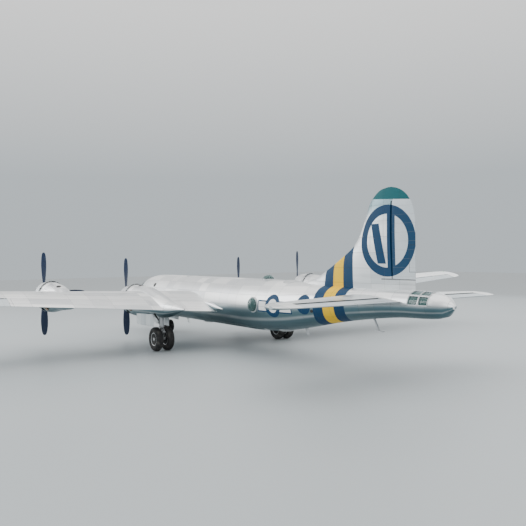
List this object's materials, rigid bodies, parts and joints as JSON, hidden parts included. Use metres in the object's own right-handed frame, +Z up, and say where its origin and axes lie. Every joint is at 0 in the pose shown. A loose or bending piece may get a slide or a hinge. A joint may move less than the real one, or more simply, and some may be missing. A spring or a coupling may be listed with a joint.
{
  "type": "1:2 scale model of a four-engine transport plane",
  "caption": "Half-size model of an unarmed four-engine propeller transport plane with a round fuselage, glazed nose, mid wing, tall fin and tricycle gear.",
  "frame": {"origin": "on the ground, under the middle of the aircraft's length and on its centreline", "axes": "+X towards the nose, +Y to the aircraft's left along the span, +Z up"},
  "size_m": [15.09, 21.525, 4.23],
  "materials": {
    "skin": "bare, semi-polished",
    "fin_skin": "silver paint with a green cap",
    "fabric": "silver doped fabric",
    "glazing": "clear",
    "cabin": "matt green paint",
    "engine": "dark grey",
    "blades": "dark blue-green paint",
    "gear": "silver paint",
    "tyre": "matt"
  },
  "bodies": {
    "airframe": {"nose_frame": "skin", "nose_section": "skin", "nose_glazing": "glazing", "cockpit_floor": "cabin", "instrument_panel": "cabin", "fuselage_centre": "skin", "fuselage_rear": "skin", "tail_section": "skin", "tail_glazing": "glazing", "tail_bumper": "gear", "fin": "fin_skin", "nose_leg": "gear", "dome_left": "glazing", "dome_right": "glazing", "dome_top": "glazing", "nacelle_1": "skin", "engine_1": "engine", "nacelle_2": "skin", "engine_2": "engine", "nacelle_3": "skin", "engine_3": "engine", "nacelle_4": "skin", "engine_4": "engine", "seat_left": "cabin", "wing_left": "skin", "flap_inner_left": "skin", "flap_outer_left": "skin", "stabiliser_left": "skin", "main_leg_left": "gear", "main_door_left_outer": "skin", "main_door_left_inner": "skin", "nose_door_left": "skin", "seat_right": "cabin", "wing_right": "skin", "flap_inner_right": "skin", "flap_outer_right": "skin", "stabiliser_right": "skin", "main_leg_right": "gear", "main_door_right_outer": "skin", "main_door_right_inner": "skin", "nose_door_right": "skin"},
    "entry_door": {"entry_door": "skin"},
    "rudder": {"rudder": "fabric"},
    "nose_fork": {"nose_fork": "gear"},
    "nose_wheels": {"nose_wheels": "tyre"},
    "propeller_1": {"propeller_1": "blades"},
    "propeller_2": {"propeller_2": "blades"},
    "propeller_3": {"propeller_3": "blades"},
    "propeller_4": {"propeller_4": "blades"},
    "aileron_left": {"aileron_left": "fabric"},
    "bay_door_front_left": {"bay_door_front_left": "skin"},
    "bay_door_back_left": {"bay_door_back_left": "skin"},
    "elevator_left": {"elevator_left": "fabric"},
    "main_wheels_left": {"main_wheels_left": "tyre"},
    "aileron_right": {"aileron_right": "fabric"},
    "bay_door_front_right": {"bay_door_front_right": "skin"},
    "bay_door_back_right": {"bay_door_back_right": "skin"},
    "elevator_right": {"elevator_right": "fabric"},
    "main_wheels_right": {"main_wheels_right": "tyre"}
  },
  "joints": [
    {"name": "propeller_1_spin", "type": "hinge", "parent": "airframe", "child": "propeller_1", "pos_m": [4.045, 4.825, 1.665], "axis": [1, 0, 0], "continuous": true},
    {"name": "propeller_2_spin", "type": "hinge", "parent": "airframe", "child": "propeller_2", "pos_m": [4.095, 2.17, 1.465], "axis": [1, 0, 0], "continuous": true},
    {"name": "propeller_3_spin", "type": "hinge", "parent": "airframe", "child": "propeller_3", "pos_m": [4.095, -2.17, 1.465], "axis": [1, 0, 0], "continuous": true},
    {"name": "propeller_4_spin", "type": "hinge", "parent": "airframe", "child": "propeller_4", "pos_m": [4.045, -4.825, 1.665], "axis": [1, 0, 0], "continuous": true},
    {"name": "main_wheels_left_roll", "type": "hinge", "parent": "airframe", "child": "main_wheels_left", "pos_m": [1.395, 2.17, 0.35196], "axis": [0, 1, 0], "continuous": true},
    {"name": "main_wheels_right_roll", "type": "hinge", "parent": "airframe", "child": "main_wheels_right", "pos_m": [1.395, -2.17, 0.35196], "axis": [0, 1, 0], "continuous": true},
    {"name": "nose_gear_steer", "type": "hinge", "parent": "airframe", "child": "nose_fork", "pos_m": [5.57, 0, 0.75], "axis": [0, 0, 1], "range_deg": [-45, 45]},
    {"name": "nose_wheels_roll", "type": "hinge", "parent": "nose_fork", "child": "nose_wheels", "pos_m": [5.57, 0, 0.22555], "axis": [0, 1, 0], "continuous": true},
    {"name": "rudder_turn", "type": "hinge", "parent": "airframe", "child": "rudder", "pos_m": [-5.905, 0, 3.1], "axis": [0, 0, 1], "range_deg": [-20, 20]},
    {"name": "elevator_left_turn", "type": "hinge", "parent": "airframe", "child": "elevator_left", "pos_m": [-5.905, 1.6, 1.755], "axis": [0, 1, 0], "range_deg": [-15, 25]},
    {"name": "elevator_right_turn", "type": "hinge", "parent": "airframe", "child": "elevator_right", "pos_m": [-5.905, -1.6, 1.755], "axis": [0, 1, 0], "range_deg": [-15, 25]},
    {"name": "aileron_left_turn", "type": "hinge", "parent": "airframe", "child": "aileron_left", "pos_m": [1.16995, 8.325, 1.77487], "axis": [-0.0154, 0.9975, 0.0696], "range_deg": [-18, 18]},
    {"name": "aileron_right_turn", "type": "hinge", "parent": "airframe", "child": "aileron_right", "pos_m": [1.16995, -8.325, 1.77487], "axis": [0.0154, 0.9975, -0.0696], "range_deg": [-18, 18]},
    {"name": "bay_door_front_left_swing", "type": "hinge", "parent": "airframe", "child": "bay_door_front_left", "pos_m": [3.77, 0.36, 0.7567], "axis": [1, 0, 0], "range_deg": [0, 75]},
    {"name": "bay_door_front_right_swing", "type": "hinge", "parent": "airframe", "child": "bay_door_front_right", "pos_m": [3.77, -0.36, 0.7567], "axis": [-1, 0, 0], "range_deg": [0, 75]},
    {"name": "bay_door_back_left_swing", "type": "hinge", "parent": "airframe", "child": "bay_door_back_left", "pos_m": [0.395, 0.36, 0.7567], "axis": [1, 0, 0], "range_deg": [0, 75]},
    {"name": "bay_door_back_right_swing", "type": "hinge", "parent": "airframe", "child": "bay_door_back_right", "pos_m": [0.395, -0.36, 0.7567], "axis": [-1, 0, 0], "range_deg": [0, 75]},
    {"name": "entry_door_swing", "type": "hinge", "parent": "airframe", "child": "entry_door", "pos_m": [-3.216, -0.468, 1.4925], "axis": [0, 0, -1], "range_deg": [0, 80]}
  ],
  "couplings": [
    {"joint": "elevator_right_turn", "follows": "elevator_left_turn", "ratio": 1},
    {"joint": "aileron_right_turn", "follows": "aileron_left_turn", "ratio": -1},
    {"joint": "bay_door_front_right_swing", "follows": "bay_door_front_left_swing", "ratio": 1},
    {"joint": "bay_door_back_right_swing", "follows": "bay_door_back_left_swing", "ratio": 1}
  ]
}
